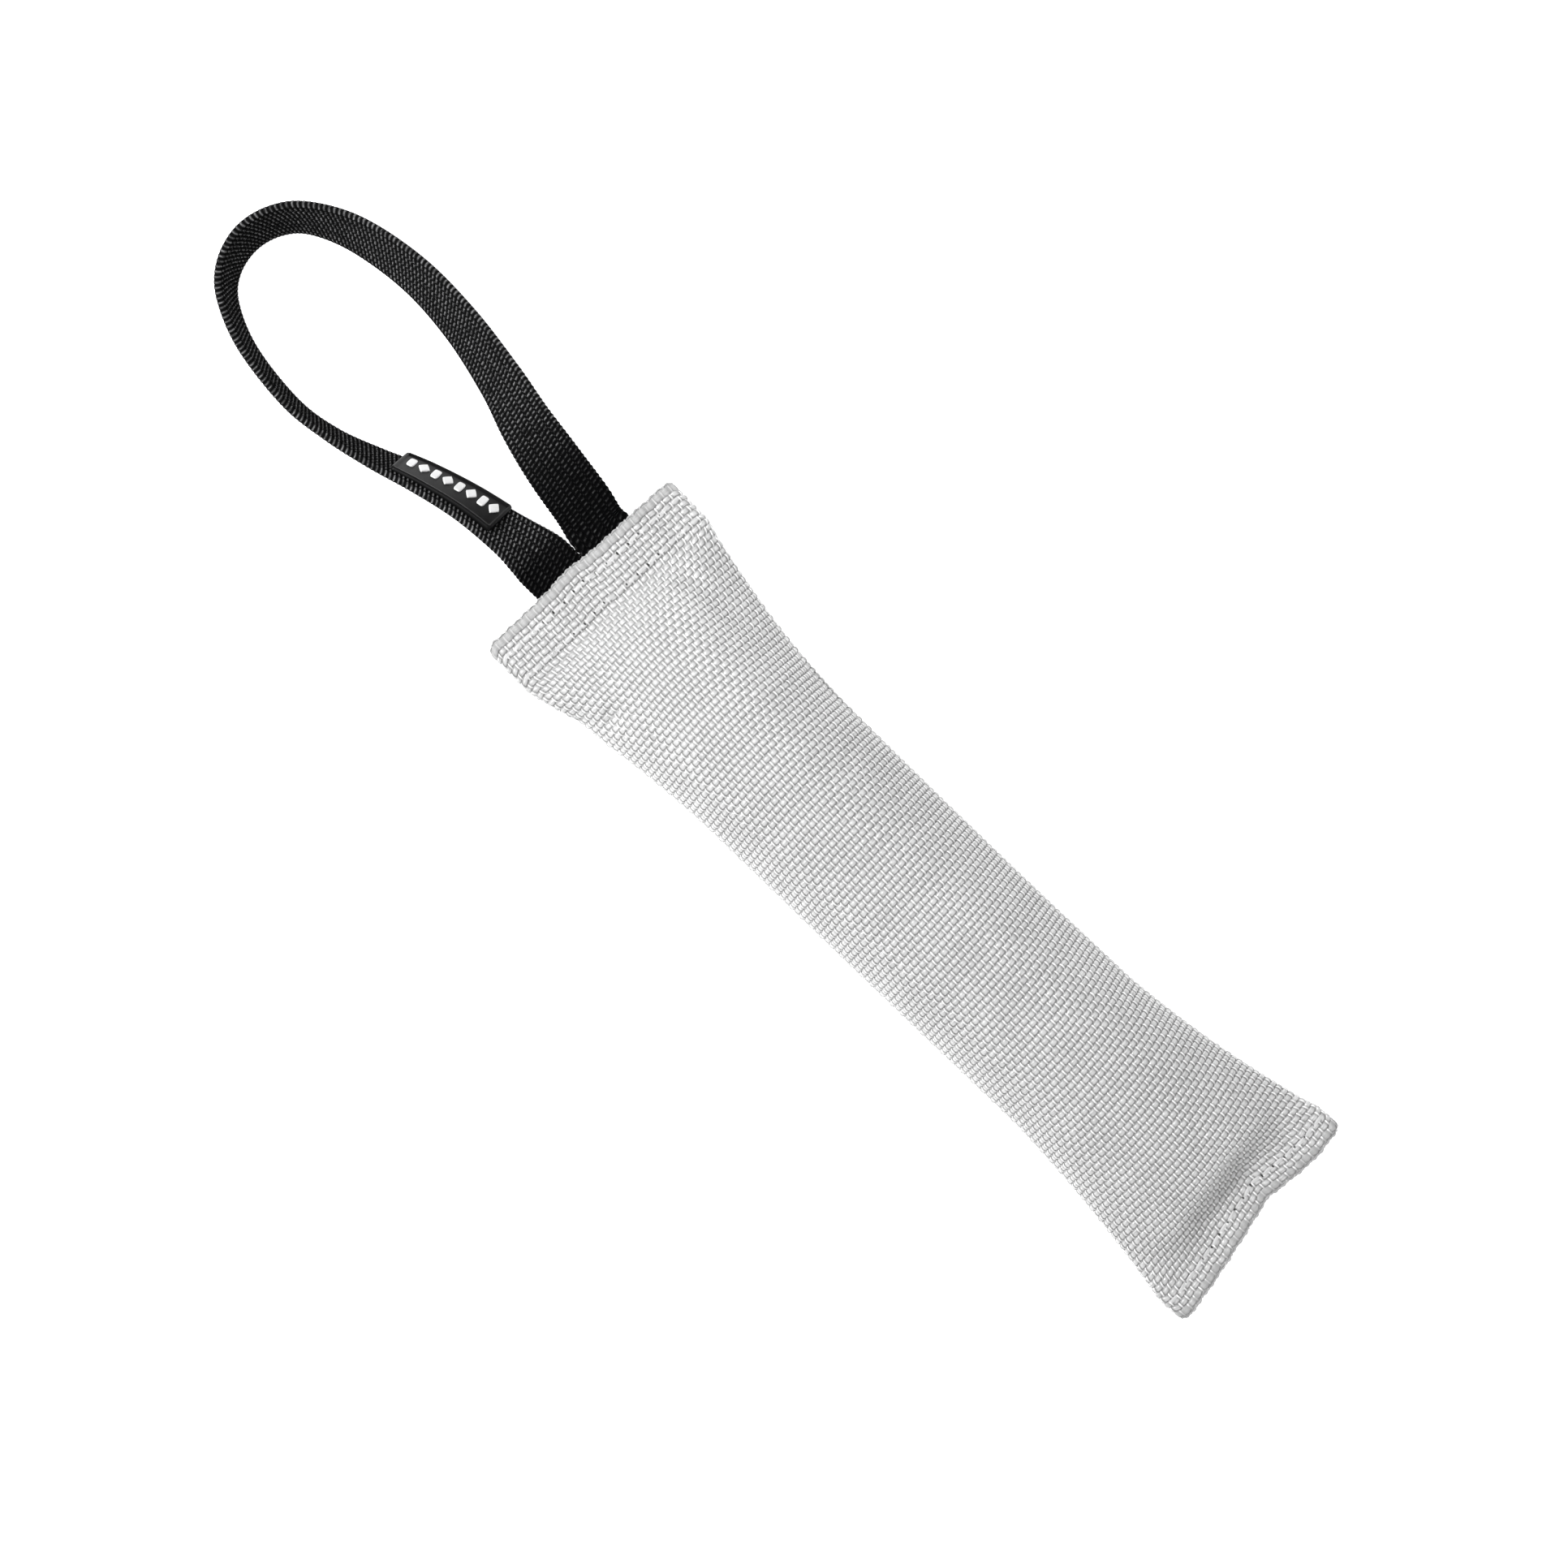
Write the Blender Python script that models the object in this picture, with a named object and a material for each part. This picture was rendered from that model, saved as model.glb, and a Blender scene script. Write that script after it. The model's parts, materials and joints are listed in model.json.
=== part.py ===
"""Training bumper: a stuffed tube of woven hose with a webbing handle sewn into one of its hems.

Metres, +Z up. The bumper lies on z = 0 with its handle towards -X, and the middle of its box is at x = y = 0.
"""

import math

import bmesh
import bpy
from mathutils import Vector

# Tube
TUBE_LENGTH = 0.300
FLAT_WIDTH = 0.0800
MIDDLE_WIDTH = 0.0602
WALL = 0.0014
GAP = 0.0003
REST_FLAT = 0.0016
SIDE_BOW = 0.0026
HANDLE_END_SKEW = 0.058
FAR_END_SKEW = -0.087
TAPER_LENGTH = 0.075
HANDLE_TAPER_POWER = 1.75
FAR_TAPER_POWER = 1.40

# Hems and their seams
HANDLE_HEM = 0.0165
FAR_HEM = 0.0085
HEM_WALL = 0.0021
HEM_TO_BODY = 0.016
FAR_SLIT_HALF = 0.0003
SEAM_INSET = 0.0020
THREAD_RADIUS = 0.0004
STITCH_LENGTH = 0.00434
STITCH_RISE = 0.00025
HANDLE_SEAMS = {"outer": 0.0057, "inner": 0.0147}
FAR_SEAM = 0.0067

# Webbing handle
STRAP_WIDTH = 0.0194
STRAP_THICKNESS = 0.0030
STRAP_CENTRES = {"left": -0.0071, "right": 0.0127}
TAIL_INSIDE = 0.0195
TAIL_OUTSIDE = 0.0028
HINGE_OUT = 0.0060
LOOP_REACH = 0.1513
LOOP_DROOP = 0.0090
# Distance out from the hem, distance across and twist in degrees of the loop's centreline.
LOOP_ROUTE = (
    (0.0060, -0.0071, 0),
    (0.0100, -0.0071, 6),
    (0.0150, -0.0073, 24),
    (0.0238, -0.0082, 43),
    (0.0402, -0.0108, 56),
    (0.0562, -0.0150, 63),
    (0.0719, -0.0203, 71),
    (0.0879, -0.0247, 79),
    (0.1043, -0.0265, 81),
    (0.1262, -0.0236, 82),
    (0.1415, -0.0171, 81),
    (0.1488, -0.0092, 78),
    (0.1513, 0.0016, 74),
    (0.1484, 0.0121, 72),
    (0.1410, 0.0203, 69),
    (0.1260, 0.0271, 62),
    (0.1042, 0.0304, 58),
    (0.0821, 0.0292, 53),
    (0.0604, 0.0250, 44),
    (0.0444, 0.0206, 30),
    (0.0282, 0.0172, 13),
    (0.0140, 0.0147, 3),
    (0.0060, 0.0127, 0),
)

# Moulded label on the left leg of the handle
LABEL_START = 0.029
LABEL_LENGTH = 0.038
LABEL_WIDTH = 0.0165
LABEL_SHIFT = 0.0012
LABEL_RIM = 0.0013
LABEL_PANEL = 0.0007
RIM_WIDTH = 0.0012
MARK_COUNT = 8
MARK_LENGTH = 0.0028
MARK_WIDTH = 0.0058
MARK_HEIGHT = 0.0006
MARK_SHIFT = 0.0018

# How finely round shapes are cut
RING_POINTS = 36
TUBE_STATIONS = 24
LOOP_STEPS_PER_SPAN = 3

# Where the handle hem's edge lies in the part's frame
HEM_X = -0.07395


MIDDLE_HALF = MIDDLE_WIDTH / 2


def half_girth_thickness(half_width):
    """Half the thickness of an oval section of this half width whose girth is that of the flat tube."""
    girth = 2 * FLAT_WIDTH
    low, high = 0.0, FLAT_WIDTH / 2
    for _ in range(40):
        half = (low + high) / 2
        both = half_width + half
        ramanujan = math.sqrt((3 * half_width + half) * (half_width + 3 * half))
        if math.pi * (3 * both - ramanujan) < girth:
            low = half
        else:
            high = half
    return low


MIDDLE_THICKNESS_HALF = half_girth_thickness(MIDDLE_HALF)
CENTRE_Z = MIDDLE_THICKNESS_HALF - REST_FLAT


def taper(distance, power):
    """1 at a hem and 0 where the tube has reached its middle width."""
    return max(0.0, 1 - distance / TAPER_LENGTH) ** power if distance > 0 else 1.0


def half_width(along):
    """Half the tube's width in plan at this distance from the handle hem's edge."""
    near = taper(along - HANDLE_HEM, HANDLE_TAPER_POWER)
    far = taper(TUBE_LENGTH - FAR_HEM - along, FAR_TAPER_POWER)
    return MIDDLE_HALF + (FLAT_WIDTH / 2 - MIDDLE_HALF) * max(near, far)


def smooth(value):
    value = min(max(value, 0.0), 1.0)
    return value * value * (3 - 2 * value)


def hem_share(along):
    """1 on a hem's flat, 0 on the stuffed tube."""
    past_hem = min(along - HANDLE_HEM, TUBE_LENGTH - FAR_HEM - along)
    return 1 - smooth(past_hem / HEM_TO_BODY)


def bow(along):
    """The sideways bow of the tube's middle line."""
    return -SIDE_BOW * math.sin(math.pi * min(max(along / TUBE_LENGTH, 0), 1)) ** 0.7


def skew(along):
    """How far the tube's cross direction leans along X, per metre across."""
    return HANDLE_END_SKEW + (FAR_END_SKEW - HANDLE_END_SKEW) * along / TUBE_LENGTH


def slit_half(along, across):
    """Half the height of the space between a hem's two sides, which opens for the two strap tails."""
    if along > TUBE_LENGTH / 2:
        return FAR_SLIT_HALF
    middle = sum(STRAP_CENTRES.values()) / 2
    past_straps = abs(across - middle) - STRAP_WIDTH - 2 * GAP
    opened = STRAP_THICKNESS / 2 + GAP
    return FAR_SLIT_HALF + (opened - FAR_SLIT_HALF) * (1 - smooth(past_straps / 0.008))


def section_point(along, angle, inset):
    """A point of the tube's section in the part's frame. inset 0 is the outside, and WALL the inside."""
    share = hem_share(along)
    outer = half_width(along)
    side = outer - inset - (HEM_WALL - WALL) * share * (inset > 0)
    across = side * math.cos(angle)
    fabric = HEM_WALL if inset == 0 else -(inset - WALL)
    flat = slit_half(along, across) + fabric
    flat *= abs(math.sin(angle)) ** 0.3
    body = (half_girth_thickness(min(outer, FLAT_WIDTH / 2 - 0.0002)) - inset) * abs(math.sin(angle))
    height = (flat * share + body * (1 - share)) * math.copysign(1, math.sin(angle))
    return Vector((
        HEM_X + along + skew(along) * across,
        across + bow(along),
        max(CENTRE_Z + height, inset),
    ))


def stations(start, end, count):
    """Distances along the tube, closer together towards the hems."""
    middle, half = (start + end) / 2, (end - start) / 2
    steps = (1 - 2 * i / (count - 1) for i in range(count))
    return [middle - half * math.sin(step * math.pi / 2) * (0.75 + 0.25 * step * step) for step in steps]


def section_ring(along, inset):
    turns = (2 * math.pi * (i + 0.5) / RING_POINTS for i in range(RING_POINTS))
    return [section_point(along, turn, inset) for turn in turns]


def material(name, colour, roughness, metallic=0.0):
    made = bpy.data.materials.new(name)
    made.use_nodes = True
    shader = made.node_tree.nodes["Principled BSDF"]
    shader.inputs["Base Color"].default_value = (*colour, 1)
    shader.inputs["Roughness"].default_value = roughness
    shader.inputs["Metallic"].default_value = metallic
    return made


def place(name, mesh_data, made_of, origin=(0, 0, 0), parent=None):
    """Adds an object whose points were given in the part's frame and whose own origin is at origin."""
    shift = Vector(origin)
    for vertex in mesh_data.vertices:
        vertex.co -= shift
    mesh_data.materials.append(made_of)
    added = bpy.data.objects.new(name, mesh_data)
    bpy.context.scene.collection.objects.link(added)
    if parent is None:
        added.location = shift
    else:
        added.parent = parent
    mesh_data.shade_smooth()
    mesh_data.set_sharp_from_angle(angle=math.radians(40))
    return added


def bridge(mesh, first, second):
    """A band of faces between two closed rings of vertices."""
    count = len(first)
    for i in range(count):
        j = (i + 1) % count
        mesh.faces.new((first[i], first[j], second[j], second[i]))


def finished(mesh, name):
    bmesh.ops.recalc_face_normals(mesh, faces=mesh.faces)
    data = bpy.data.meshes.new(name)
    mesh.to_mesh(data)
    mesh.free()
    return data


def lofted(name, rings):
    """A closed solid through these rings of points, with flat ends."""
    mesh = bmesh.new()
    made = [[mesh.verts.new(point) for point in ring] for ring in rings]
    for first, second in zip(made, made[1:]):
        bridge(mesh, first, second)
    mesh.faces.new(made[0])
    mesh.faces.new(made[-1])
    return finished(mesh, name)


def jacket():
    """The woven tube, folded in at both ends and open along both hems' slits."""
    along = stations(0, TUBE_LENGTH, TUBE_STATIONS)
    mesh = bmesh.new()
    outside = [[mesh.verts.new(p) for p in section_ring(a, 0)] for a in along]
    inside = [[mesh.verts.new(p) for p in section_ring(a, WALL)] for a in along]
    for rings in (outside, inside):
        for first, second in zip(rings, rings[1:]):
            bridge(mesh, first, second)
    bridge(mesh, outside[0], inside[0])
    bridge(mesh, outside[-1], inside[-1])
    return finished(mesh, "jacket")


def stuffing():
    """The roll of filling, on the same stations as the jacket so that the two nest."""
    first, last = TAIL_INSIDE + 0.002, TUBE_LENGTH - FAR_HEM - 0.002
    along = [a for a in stations(0, TUBE_LENGTH, TUBE_STATIONS) if first < a < last]
    return lofted("stuffing", [section_ring(a, WALL + GAP) for a in along])


def strap_section(centre, normal, width_way, width, low, high, corner=0.0006):
    """A strap's section: a rectangle with its corners cut, from low to high along normal."""
    half = width / 2
    outline = (
        (half, low + corner),
        (half, high - corner),
        (half - corner, high),
        (corner - half, high),
        (-half, high - corner),
        (-half, low + corner),
        (corner - half, low),
        (half - corner, low),
    )
    return [centre + width_way * across + normal * up for across, up in outline]


def strap_tail(side):
    """One end of the strap, from just outside the hem to past the inner seam."""
    half = STRAP_THICKNESS / 2
    rings = []
    for along in (-TAIL_OUTSIDE, TAIL_INSIDE / 2, TAIL_INSIDE):
        centre = Vector((HEM_X + along, STRAP_CENTRES[side], CENTRE_Z))
        rings.append(strap_section(centre, Vector((0, 0, 1)), Vector((0, 1, 0)), STRAP_WIDTH, -half, half))
    return lofted(f"strap_tail_{side}", rings)


def spline(points, steps):
    """A Catmull-Rom curve through these points, with this many steps in each span."""
    ends = [2 * points[0] - points[1], *points, 2 * points[-1] - points[-2]]
    found = []
    for a, b, c, d in zip(ends, ends[1:], ends[2:], ends[3:]):
        for i in range(steps):
            t = i / steps
            found.append(
                0.5 * (2 * b + (c - a) * t + (2 * a - 5 * b + 4 * c - d) * t * t
                       + (3 * b - a - 3 * c + d) * t * t * t)
            )
    return [*found, points[-1]]


def loop_frames():
    """The loop's centreline with, at each point, its front face's normal, its width's direction and its length so far.

    The front face looks up at both roots and into the loop at its far end.
    """
    raw = spline([Vector((out, across, twist)) for out, across, twist in LOOP_ROUTE], LOOP_STEPS_PER_SPAN)
    centres = [
        Vector((HEM_X - p.x, p.y, CENTRE_Z - LOOP_DROOP * smooth((p.x - HINGE_OUT) / (LOOP_REACH - HINGE_OUT))))
        for p in raw
    ]
    frames, length = [], 0.0
    for i, (centre, point) in enumerate(zip(centres, raw)):
        before, after = centres[max(i - 1, 0)], centres[min(i + 1, len(centres) - 1)]
        tangent = (after - before).normalized()
        if i in (0, len(centres) - 1):
            tangent = Vector((math.copysign(1, tangent.x), 0, 0))
        inward = Vector((tangent.y, -tangent.x, 0)).normalized()
        up = inward.cross(tangent).normalized()
        up = -up if up.z < 0 else up
        twist = math.radians(point.z)
        normal = (up * math.cos(twist) + inward * math.sin(twist)).normalized()
        if i:
            length += (centre - centres[i - 1]).length
        frames.append((centre, normal, tangent.cross(normal).normalized(), length))
    return frames


def root_end(frame, outward):
    """Rings that round one root of the loop about the hinge's axis."""
    centre, normal, width_way, _ = frame
    half = STRAP_THICKNESS / 2
    rings = []
    for degrees in (75, 50, 25):
        angle = math.radians(degrees)
        reach = half * math.cos(angle) * 0.6 + 0.0004
        ring_centre = centre + outward * half * math.sin(angle)
        rings.append(strap_section(ring_centre, normal, width_way, STRAP_WIDTH, -reach, reach, 0.0002))
    return rings


def handle_loop():
    """The whole free length of the strap, from one root to the other."""
    half = STRAP_THICKNESS / 2
    frames = loop_frames()
    body = [strap_section(c, n, w, STRAP_WIDTH, -half, half) for c, n, w, _ in frames]
    towards_hem = Vector((1, 0, 0))
    start = root_end(frames[0], towards_hem)
    end = root_end(frames[-1], towards_hem)[::-1]
    return lofted("handle_loop", [*start, *body, *end])


def frame_at(frames, length):
    """The loop's frame at this length from its left root, between the two nearest stations."""
    for before, after in zip(frames, frames[1:]):
        if after[3] >= length:
            share = (length - before[3]) / (after[3] - before[3])
            centre, normal, width_way = (a.lerp(b, share) for a, b in zip(before[:3], after[:3]))
            return centre, normal.normalized(), width_way.normalized()
    return frames[-1][:3]


def on_label(frames, along, across, height):
    """A point on the label: along its length, across it from its middle, and above the strap's front face."""
    centre, normal, width_way = frame_at(frames, LABEL_START - HINGE_OUT + along)
    up = STRAP_THICKNESS / 2 + GAP + height
    return centre + width_way * (across + LABEL_SHIFT) + normal * up


def label_plate():
    """A thin plate that follows the strap, with a raised rim round a flat panel."""
    frames = loop_frames()
    half = LABEL_WIDTH / 2
    inner = half - RIM_WIDTH
    lengths = [0.0, RIM_WIDTH * 0.55, RIM_WIDTH]
    panel_steps = 9
    panel = LABEL_LENGTH - 2 * RIM_WIDTH
    lengths += [RIM_WIDTH + panel * i / panel_steps for i in range(1, panel_steps)]
    lengths += [LABEL_LENGTH - length for length in (RIM_WIDTH, RIM_WIDTH * 0.55, 0.0)]
    widths = [-half, -half + RIM_WIDTH * 0.55, -inner, inner, half - RIM_WIDTH * 0.55, half]
    rings = []
    for i, along in enumerate(lengths):
        on_end = i in (0, len(lengths) - 1)
        on_rim = i in (1, len(lengths) - 2)
        top = []
        for j, across in enumerate(widths):
            height = LABEL_RIM if on_rim or j in (1, 4) else LABEL_PANEL
            if on_end or j in (0, 5):
                height = LABEL_PANEL * 0.6
            top.append(on_label(frames, along, across, height))
        bottom = [on_label(frames, along, across, 0) for across in reversed(widths)]
        rings.append(top + bottom)
    return lofted("label_plate", rings)


def label_mark(index):
    """One raised mark on the label's panel, a lozenge and an upright bar by turns."""
    frames = loop_frames()
    pitch = (LABEL_LENGTH - 2 * RIM_WIDTH) / (MARK_COUNT + 0.4)
    middle = RIM_WIDTH + pitch * (index + 0.7)
    half_length = MARK_LENGTH / 2 * (1.25 if index % 2 == 0 else 0.6)
    half_width_ = MARK_WIDTH / 2
    if index % 2 == 0:
        outline = ((half_length, 0), (0, half_width_), (-half_length, 0), (0, -half_width_))
    else:
        outline = (
            (half_length, -half_width_),
            (half_length, half_width_),
            (-half_length, half_width_),
            (-half_length, -half_width_),
        )
    rings = []
    for height, size in ((0.0, 1.0), (MARK_HEIGHT * 0.7, 1.0), (MARK_HEIGHT, 0.8)):
        level = LABEL_PANEL + GAP + height
        rings.append([on_label(frames, middle + a * size, MARK_SHIFT + b * size, level) for a, b in outline])
    return lofted(f"label_mark_{index + 1}", rings)


def hem_surface(along, across, side):
    """A point on the hem's outside, above (side 1) or below (side -1) its middle."""
    half = half_width(along)
    rounding = max(1 - (across / half) ** 2, 0.0) ** 0.15
    height = (slit_half(along, across) + HEM_WALL) * rounding
    return Vector((HEM_X + along + skew(along) * across, across + bow(along), CENTRE_Z + side * height))


def seam_thread(name, along, side, made_of):
    """One thread of a lockstitched seam: an unbroken run of stitches along the outside of the hem."""
    reach = half_width(along) - SEAM_INSET
    count = round(2 * reach / STITCH_LENGTH)
    points = []
    for i in range(2 * count + 1):
        across = -reach + reach * i / count
        lift = GAP + THREAD_RADIUS + STITCH_RISE * (i % 2)
        points.append(hem_surface(along, across, side) + Vector((0, 0, side * lift)))
    curve = bpy.data.curves.new(name, "CURVE")
    curve.dimensions = "3D"
    curve.bevel_depth = THREAD_RADIUS
    curve.bevel_resolution = 0
    curve.use_fill_caps = True
    curve.materials.append(made_of)
    run = curve.splines.new("POLY")
    run.points.add(len(points) - 1)
    for place_, point in zip(run.points, points):
        place_.co = (*point, 1)
    bpy.context.scene.collection.objects.link(bpy.data.objects.new(name, curve))


def build_tube():
    weave = material("woven hose", (0.62, 0.62, 0.61), 0.55)
    filling = material("fibre filling", (0.70, 0.68, 0.63), 0.95)
    place("jacket", jacket(), weave)
    place("stuffing_core", stuffing(), filling)


def build_seams():
    thread = material("sewing thread", (0.66, 0.66, 0.65), 0.6)
    sides = {"needle_thread": 1, "bobbin_thread": -1}
    for thread_name, side in sides.items():
        for row, along in HANDLE_SEAMS.items():
            seam_thread(f"handle_hem_{row}_{thread_name}", along, side, thread)
        seam_thread(f"far_hem_{thread_name}", TUBE_LENGTH - FAR_SEAM, side, thread)


def build_handle():
    webbing = material("black webbing", (0.008, 0.008, 0.009), 0.6)
    rubber = material("label rubber", (0.015, 0.015, 0.016), 0.5)
    raised = material("label marks", (0.60, 0.60, 0.60), 0.45)
    for side in STRAP_CENTRES:
        place(f"strap_tail_{side}", strap_tail(side), webbing)
    axis_point = (HEM_X - HINGE_OUT, 0, CENTRE_Z)
    hinge = bpy.data.objects.new("handle_hinge", None)
    hinge.location = axis_point
    hinge.empty_display_size = 0.02
    bpy.context.scene.collection.objects.link(hinge)
    place("handle_loop", handle_loop(), webbing, axis_point, hinge)
    place("label_plate", label_plate(), rubber, axis_point, hinge)
    for index in range(MARK_COUNT):
        place(f"label_mark_{index + 1}", label_mark(index), raised, axis_point, hinge)


def main():
    for old in list(bpy.data.objects):
        bpy.data.objects.remove(old, do_unlink=True)
    build_tube()
    build_seams()
    build_handle()


main()
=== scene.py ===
"""Training bumper: what shows of it, yarn by yarn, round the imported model.

Everything is in metres in the row frame: the bumper lies on z = 0 with its handle towards -X.
The jacket is a real plain weave: every weft and warp is a solid yarn laid on a surface that is
blown up by a cloth simulation. The webbing is one relief mesh from one hidden end to the other.
"""

import json
import math
from functools import partialmethod

import bpy
import numpy as np
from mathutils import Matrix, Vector


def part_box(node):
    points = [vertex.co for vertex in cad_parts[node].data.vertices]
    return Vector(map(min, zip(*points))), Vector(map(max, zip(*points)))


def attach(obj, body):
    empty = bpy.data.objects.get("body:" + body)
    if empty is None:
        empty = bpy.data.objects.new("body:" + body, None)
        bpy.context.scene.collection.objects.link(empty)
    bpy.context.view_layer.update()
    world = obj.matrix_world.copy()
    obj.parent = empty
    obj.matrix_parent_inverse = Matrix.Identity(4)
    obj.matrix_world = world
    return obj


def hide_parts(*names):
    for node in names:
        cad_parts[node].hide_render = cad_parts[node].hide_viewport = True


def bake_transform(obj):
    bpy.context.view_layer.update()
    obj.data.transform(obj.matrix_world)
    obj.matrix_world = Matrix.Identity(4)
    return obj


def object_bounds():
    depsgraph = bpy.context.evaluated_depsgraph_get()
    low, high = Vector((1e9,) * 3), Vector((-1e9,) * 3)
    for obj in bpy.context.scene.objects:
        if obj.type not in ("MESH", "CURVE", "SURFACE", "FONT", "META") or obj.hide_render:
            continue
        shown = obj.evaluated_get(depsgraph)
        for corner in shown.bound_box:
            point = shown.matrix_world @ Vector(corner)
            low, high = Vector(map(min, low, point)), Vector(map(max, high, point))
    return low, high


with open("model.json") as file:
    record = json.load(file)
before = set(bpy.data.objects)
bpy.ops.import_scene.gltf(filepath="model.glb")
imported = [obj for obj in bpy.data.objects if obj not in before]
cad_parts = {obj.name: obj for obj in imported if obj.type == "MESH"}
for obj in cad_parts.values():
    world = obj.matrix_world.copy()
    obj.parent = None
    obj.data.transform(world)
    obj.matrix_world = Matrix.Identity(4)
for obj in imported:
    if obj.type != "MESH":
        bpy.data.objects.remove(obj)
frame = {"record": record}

CAD_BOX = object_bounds()

# Places read from the frame
HINGE = np.array(frame["record"]["behaviour"]["joints"][0]["pos_m"])
HINGE_OUT = 0.0060
HEM_X = HINGE[0] + HINGE_OUT
MIDDLE_Z = HINGE[2]

# Tube
TUBE_LENGTH = 0.300
FLAT_WIDTH = 0.0800
GIRTH = 2 * FLAT_WIDTH
MIDDLE_HALF = 0.0301
SIDE_BOW = 0.0026
HANDLE_END_SKEW = 0.058
FAR_END_SKEW = -0.087
TAPER_LENGTH = 0.075
HANDLE_TAPER_POWER = 1.75
FAR_TAPER_POWER = 1.40
HANDLE_HEM = 0.0165
FAR_HEM = 0.0085
HEM_WALL = 0.0021
HEM_TO_BODY = 0.016
FAR_SLIT_HALF = 0.0003
STRAP_CLEARANCE = 0.0003
# Past a hem the filled tube is lens-shaped before it is oval, and climbs at once from the seam.
LENS_REACH = 0.060
LENS_SHARE = 0.85
PILLOW_CLIMB = (0.0080, 0.0150)
MOST_MOVE = 0.0030

# Webbing
STRAP_WIDTH = 0.0194
STRAP_THICKNESS = 0.0030
STRAP_STEP = 0.00039
TAIL_INSIDE = 0.0190
LOOP_DROOP = 0.0090
BUMP_PITCH = 0.00158
RIB_COUNT = 8
SELVEDGE = 0.00105
RIB_PITCH = (STRAP_WIDTH - 2 * SELVEDGE) / RIB_COUNT
RELIEF = 0.00050
SLANT = -0.38
EDGE_DEPTH = 0.00045
FACE_POINTS = 40
EDGE_POINTS = 4
# Distance out from the hem, distance across and twist in degrees of the loop's centreline.
LOOP_ROUTE = [
    (0.0060, -0.0071, 0),
    (0.0100, -0.0071, 6),
    (0.0150, -0.0073, 24),
    (0.0238, -0.0082, 43),
    (0.0402, -0.0108, 56),
    (0.0562, -0.0150, 63),
    (0.0719, -0.0203, 71),
    (0.0879, -0.0247, 79),
    (0.1043, -0.0265, 81),
    (0.1262, -0.0236, 82),
    (0.1415, -0.0171, 81),
    (0.1488, -0.0092, 78),
    (0.1513, 0.0016, 74),
    (0.1484, 0.0121, 72),
    (0.1410, 0.0203, 69),
    (0.1260, 0.0271, 62),
    (0.1042, 0.0304, 58),
    (0.0821, 0.0292, 53),
    (0.0604, 0.0250, 44),
    (0.0444, 0.0206, 30),
    (0.0282, 0.0172, 13),
    (0.0140, 0.0147, 3),
    (0.0060, 0.0127, 0),
]
LOOP_REACH = max(point[0] for point in LOOP_ROUTE)

# Weave of the jacket
WARP_COUNT = 102
WEFT_PITCH = 0.00222
WEFT_HALF_WIDTH = 0.00094
WEFT_HALF_THICKNESS = 0.00042
WARP_HALF_WIDTH = 0.00029
WARP_HALF_THICKNESS = 0.00019
WEFT_CRIMP = 0.00014
WARP_CRIMP = 0.00050
STEPS_PER_CROSSING = 4
WEFTS_PER_PIECE = 29
WARPS_PER_PIECE = 26
YARN_DEPTH = 0.00062
FOLD_RADIUS = 0.00043
FOLD_QUARTER = FOLD_RADIUS * math.pi / 2
TURNED_IN = 0.0062
EDGE_OUT = 0.0012
# How far in from each mouth's edge the cloth is pressed flat, with its warps sunk.
PRESSED = (0.0026, 0.0018)

# Seams: each row's distance in from the handle's edge or, below zero, from the far edge; its
# stitches; and its reach to each side of the tube's middle, in turns
SEAM_ROWS = {"handle_hem_outer": 0.0057, "handle_hem_inner": 0.0147, "far_hem": -0.0067}
STITCH = 0.00434
STITCH_STEPS = 10
SEAM_SIDES = 10
SEAM_REACH = 0.236
HOLE_LONG = 0.00052
HOLE_WIDE = 0.00034

# Label
LABEL_START = 0.029
LABEL_LENGTH = 0.038
LABEL_WIDTH = 0.0165
LABEL_SHIFT = 0.0012
LABEL_CORNER = 0.0012
LABEL_STIFFNESS = 0.30
RIM_HEIGHT = 0.00135
RIM_WIDTH = 0.0011
PANEL_HEIGHT = 0.0008
MARK_COUNT = 8
MARK_SHIFT = 0.0018
MARK_SIDES = 32
# Height above the panel and size of each ring of a raised mark
MARK_LEVELS = (
    (-0.0002, 1.0),
    (0.00030, 1.0),
    (0.00045, 0.96),
    (0.00052, 0.86),
    (0.00050, 0.60),
    (0.00054, 0.30),
)

# Stage and camera
FLOOR_HALF = 6.0
FLOOR_Z = -0.0004
VIEW_TURN = math.radians(43.95)
VIEW_WIDTH = 0.4988
VIEW_CENTRE = (0.0200, -0.0048, 0.0190)
VIEW_DISTANCE = 1.38
SENSOR_MM = 36.0

# Grid of the simulated cloth
GRID_ROUND = 128
GRID_LONG = 220
SIMULATED_FRAMES = 20
CLOTH_SETTINGS = {
    "quality": 6,
    "mass": 0.15,
    "tension_stiffness": 60,
    "compression_stiffness": 60,
    "shear_stiffness": 12,
    "bending_stiffness": 1.2,
    "vertex_group_mass": "hold",
    "use_pressure": True,
    "uniform_pressure_force": 4.0,
}

RANDOM = np.random.default_rng(7)


def smooth(value):
    value = np.clip(value, 0.0, 1.0)
    return value * value * (3 - 2 * value)


def rise(value, start, length):
    """0 before start, 1 a length after it, smooth between."""
    return smooth((value - start) / length)


def bell(value, width):
    return np.exp(-((value / width) ** 2))


def unit(vectors):
    return vectors / np.maximum(np.linalg.norm(vectors, axis=-1, keepdims=True), 1e-12)


def circle(sides, start=0.0):
    """Cosines and sines of equal steps round a circle."""
    angle = (np.arange(sides) + start) / sides * math.tau
    return np.cos(angle), np.sin(angle)


def read_at(wanted, known, rows):
    """Rows of values, known at these places, read at others."""
    return np.stack([np.interp(wanted, known, column) for column in rows.T], axis=-1)


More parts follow.
